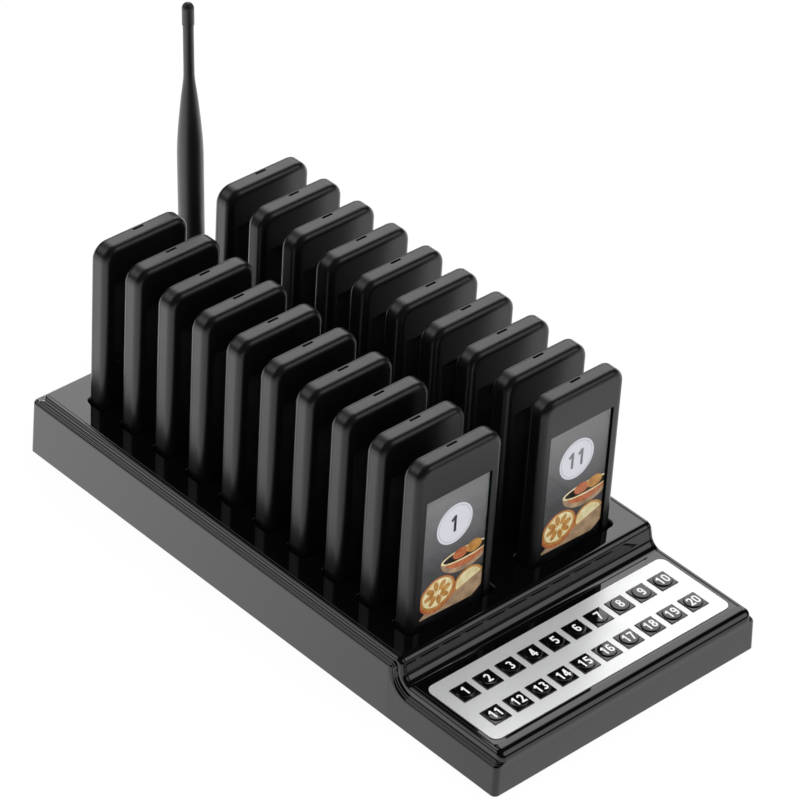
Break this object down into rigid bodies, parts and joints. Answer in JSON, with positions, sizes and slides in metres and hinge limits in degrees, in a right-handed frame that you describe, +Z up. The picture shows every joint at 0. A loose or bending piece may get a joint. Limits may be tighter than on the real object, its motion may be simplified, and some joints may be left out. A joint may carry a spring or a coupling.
{
  "type": "guest pager system",
  "caption": "Queue paging set: a charging base with a numbered keypad and a folding antenna, holding two rows of slim upright pagers that lift out of their slots.",
  "frame": {"origin": "middle of the base's outline, on the surface the four rubber feet stand on", "axes": "+X to the right along the key rows, +Y from the keypad to the rear wall with the antenna, +Z up"},
  "size_m": [0.1662, 0.3445, 0.2092],
  "materials": {
    "housing_gloss": "polished black",
    "cover_plastic": "fine matte",
    "keypad_film": "silver grey film with a soft sheen",
    "board": "green solder mask",
    "switch_plastic": "moulded",
    "contact_metal": "thin gold plating",
    "ribbon_plastic": "flat, faint ribs",
    "jack_metal": "turned and gold plated",
    "inlet_plastic": "moulded",
    "foot_rubber": "soft matte",
    "screw_steel": "zinc plated",
    "antenna_plastic": "satin, moulded",
    "antenna_rubber": "smooth matte",
    "key_plastic": "glossy button with a white numeral",
    "pager_plastic": "satin black",
    "clear_pane": "clear and flat",
    "printed_card": "printed, satin",
    "battery_wrap": "silver wrap"
  },
  "bodies": {
    "base": {"top_housing": "housing_gloss", "bottom_cover": "cover_plastic", "key_overlay": "keypad_film", "keypad_board": "board", "key_switches": "switch_plastic", "charging_board": "board", "charging_contacts": "contact_metal", "link_ribbon": "ribbon_plastic", "antenna_jack": "jack_metal", "dc_inlet": "inlet_plastic", "rubber_feet": "foot_rubber", "case_screws": "screw_steel"},
    "key_01": {"key_01": "key_plastic"},
    "key_02": {"key_02": "key_plastic"},
    "key_03": {"key_03": "key_plastic"},
    "key_04": {"key_04": "key_plastic"},
    "key_05": {"key_05": "key_plastic"},
    "key_06": {"key_06": "key_plastic"},
    "key_07": {"key_07": "key_plastic"},
    "key_08": {"key_08": "key_plastic"},
    "key_09": {"key_09": "key_plastic"},
    "key_10": {"key_10": "key_plastic"},
    "key_11": {"key_11": "key_plastic"},
    "key_12": {"key_12": "key_plastic"},
    "key_13": {"key_13": "key_plastic"},
    "key_14": {"key_14": "key_plastic"},
    "key_15": {"key_15": "key_plastic"},
    "key_16": {"key_16": "key_plastic"},
    "key_17": {"key_17": "key_plastic"},
    "key_18": {"key_18": "key_plastic"},
    "key_19": {"key_19": "key_plastic"},
    "key_20": {"key_20": "key_plastic"},
    "antenna_base": {"antenna_knuckle": "antenna_plastic", "antenna_hinge_pin": "screw_steel"},
    "whip": {"antenna_whip": "antenna_rubber"},
    "pager_01": {"pager_01_front_shell": "pager_plastic", "pager_01_rear_shell": "pager_plastic", "pager_01_window": "clear_pane", "pager_01_card": "printed_card", "pager_01_circuit_board": "board", "pager_01_battery": "battery_wrap"},
    "pager_02": {"pager_02": "pager_plastic"},
    "pager_03": {"pager_03": "pager_plastic"},
    "pager_04": {"pager_04": "pager_plastic"},
    "pager_05": {"pager_05": "pager_plastic"},
    "pager_06": {"pager_06": "pager_plastic"},
    "pager_07": {"pager_07": "pager_plastic"},
    "pager_08": {"pager_08": "pager_plastic"},
    "pager_09": {"pager_09": "pager_plastic"},
    "pager_10": {"pager_10": "pager_plastic"},
    "pager_11": {"pager_11": "pager_plastic"},
    "pager_12": {"pager_12": "pager_plastic"},
    "pager_13": {"pager_13": "pager_plastic"},
    "pager_14": {"pager_14": "pager_plastic"},
    "pager_15": {"pager_15": "pager_plastic"},
    "pager_16": {"pager_16": "pager_plastic"},
    "pager_17": {"pager_17": "pager_plastic"},
    "pager_18": {"pager_18": "pager_plastic"},
    "pager_19": {"pager_19": "pager_plastic"},
    "pager_20": {"pager_20": "pager_plastic"}
  },
  "joints": [
    {"name": "key_01_press", "type": "slide", "parent": "base", "child": "key_01", "axis": [0, 0, -1], "range_m": [0, 0.0005], "stiffness_N_per_m": 500, "springref_m": -0.002},
    {"name": "key_02_press", "type": "slide", "parent": "base", "child": "key_02", "axis": [0, 0, -1], "range_m": [0, 0.0005], "stiffness_N_per_m": 500, "springref_m": -0.002},
    {"name": "key_03_press", "type": "slide", "parent": "base", "child": "key_03", "axis": [0, 0, -1], "range_m": [0, 0.0005], "stiffness_N_per_m": 500, "springref_m": -0.002},
    {"name": "key_04_press", "type": "slide", "parent": "base", "child": "key_04", "axis": [0, 0, -1], "range_m": [0, 0.0005], "stiffness_N_per_m": 500, "springref_m": -0.002},
    {"name": "key_05_press", "type": "slide", "parent": "base", "child": "key_05", "axis": [0, 0, -1], "range_m": [0, 0.0005], "stiffness_N_per_m": 500, "springref_m": -0.002},
    {"name": "key_06_press", "type": "slide", "parent": "base", "child": "key_06", "axis": [0, 0, -1], "range_m": [0, 0.0005], "stiffness_N_per_m": 500, "springref_m": -0.002},
    {"name": "key_07_press", "type": "slide", "parent": "base", "child": "key_07", "axis": [0, 0, -1], "range_m": [0, 0.0005], "stiffness_N_per_m": 500, "springref_m": -0.002},
    {"name": "key_08_press", "type": "slide", "parent": "base", "child": "key_08", "axis": [0, 0, -1], "range_m": [0, 0.0005], "stiffness_N_per_m": 500, "springref_m": -0.002},
    {"name": "key_09_press", "type": "slide", "parent": "base", "child": "key_09", "axis": [0, 0, -1], "range_m": [0, 0.0005], "stiffness_N_per_m": 500, "springref_m": -0.002},
    {"name": "key_10_press", "type": "slide", "parent": "base", "child": "key_10", "axis": [0, 0, -1], "range_m": [0, 0.0005], "stiffness_N_per_m": 500, "springref_m": -0.002},
    {"name": "key_11_press", "type": "slide", "parent": "base", "child": "key_11", "axis": [0, 0, -1], "range_m": [0, 0.0005], "stiffness_N_per_m": 500, "springref_m": -0.002},
    {"name": "key_12_press", "type": "slide", "parent": "base", "child": "key_12", "axis": [0, 0, -1], "range_m": [0, 0.0005], "stiffness_N_per_m": 500, "springref_m": -0.002},
    {"name": "key_13_press", "type": "slide", "parent": "base", "child": "key_13", "axis": [0, 0, -1], "range_m": [0, 0.0005], "stiffness_N_per_m": 500, "springref_m": -0.002},
    {"name": "key_14_press", "type": "slide", "parent": "base", "child": "key_14", "axis": [0, 0, -1], "range_m": [0, 0.0005], "stiffness_N_per_m": 500, "springref_m": -0.002},
    {"name": "key_15_press", "type": "slide", "parent": "base", "child": "key_15", "axis": [0, 0, -1], "range_m": [0, 0.0005], "stiffness_N_per_m": 500, "springref_m": -0.002},
    {"name": "key_16_press", "type": "slide", "parent": "base", "child": "key_16", "axis": [0, 0, -1], "range_m": [0, 0.0005], "stiffness_N_per_m": 500, "springref_m": -0.002},
    {"name": "key_17_press", "type": "slide", "parent": "base", "child": "key_17", "axis": [0, 0, -1], "range_m": [0, 0.0005], "stiffness_N_per_m": 500, "springref_m": -0.002},
    {"name": "key_18_press", "type": "slide", "parent": "base", "child": "key_18", "axis": [0, 0, -1], "range_m": [0, 0.0005], "stiffness_N_per_m": 500, "springref_m": -0.002},
    {"name": "key_19_press", "type": "slide", "parent": "base", "child": "key_19", "axis": [0, 0, -1], "range_m": [0, 0.0005], "stiffness_N_per_m": 500, "springref_m": -0.002},
    {"name": "key_20_press", "type": "slide", "parent": "base", "child": "key_20", "axis": [0, 0, -1], "range_m": [0, 0.0005], "stiffness_N_per_m": 500, "springref_m": -0.002},
    {"name": "pager_01_lift", "type": "slide", "parent": "base", "child": "pager_01", "axis": [0, 0, 1], "range_m": [0, 0.025]},
    {"name": "pager_02_lift", "type": "slide", "parent": "base", "child": "pager_02", "axis": [0, 0, 1], "range_m": [0, 0.025]},
    {"name": "pager_03_lift", "type": "slide", "parent": "base", "child": "pager_03", "axis": [0, 0, 1], "range_m": [0, 0.025]},
    {"name": "pager_04_lift", "type": "slide", "parent": "base", "child": "pager_04", "axis": [0, 0, 1], "range_m": [0, 0.025]},
    {"name": "pager_05_lift", "type": "slide", "parent": "base", "child": "pager_05", "axis": [0, 0, 1], "range_m": [0, 0.025]},
    {"name": "pager_06_lift", "type": "slide", "parent": "base", "child": "pager_06", "axis": [0, 0, 1], "range_m": [0, 0.025]},
    {"name": "pager_07_lift", "type": "slide", "parent": "base", "child": "pager_07", "axis": [0, 0, 1], "range_m": [0, 0.025]},
    {"name": "pager_08_lift", "type": "slide", "parent": "base", "child": "pager_08", "axis": [0, 0, 1], "range_m": [0, 0.025]},
    {"name": "pager_09_lift", "type": "slide", "parent": "base", "child": "pager_09", "axis": [0, 0, 1], "range_m": [0, 0.025]},
    {"name": "pager_10_lift", "type": "slide", "parent": "base", "child": "pager_10", "axis": [0, 0, 1], "range_m": [0, 0.025]},
    {"name": "pager_11_lift", "type": "slide", "parent": "base", "child": "pager_11", "axis": [0, 0, 1], "range_m": [0, 0.025]},
    {"name": "pager_12_lift", "type": "slide", "parent": "base", "child": "pager_12", "axis": [0, 0, 1], "range_m": [0, 0.025]},
    {"name": "pager_13_lift", "type": "slide", "parent": "base", "child": "pager_13", "axis": [0, 0, 1], "range_m": [0, 0.025]},
    {"name": "pager_14_lift", "type": "slide", "parent": "base", "child": "pager_14", "axis": [0, 0, 1], "range_m": [0, 0.025]},
    {"name": "pager_15_lift", "type": "slide", "parent": "base", "child": "pager_15", "axis": [0, 0, 1], "range_m": [0, 0.025]},
    {"name": "pager_16_lift", "type": "slide", "parent": "base", "child": "pager_16", "axis": [0, 0, 1], "range_m": [0, 0.025]},
    {"name": "pager_17_lift", "type": "slide", "parent": "base", "child": "pager_17", "axis": [0, 0, 1], "range_m": [0, 0.025]},
    {"name": "pager_18_lift", "type": "slide", "parent": "base", "child": "pager_18", "axis": [0, 0, 1], "range_m": [0, 0.025]},
    {"name": "pager_19_lift", "type": "slide", "parent": "base", "child": "pager_19", "axis": [0, 0, 1], "range_m": [0, 0.025]},
    {"name": "pager_20_lift", "type": "slide", "parent": "base", "child": "pager_20", "axis": [0, 0, 1], "range_m": [0, 0.025]},
    {"name": "antenna_swivel", "type": "hinge", "parent": "base", "child": "antenna_base", "pos_m": [0.0295, 0.1746, 0.0188], "axis": [0, 1, 0], "range_deg": [-87.23, 92.77]},
    {"name": "antenna_fold", "type": "hinge", "parent": "antenna_base", "child": "whip", "pos_m": [0.0295, 0.1746, 0.0188], "axis": [-0.9988, 0, -0.0483], "range_deg": [0, 90]}
  ]
}
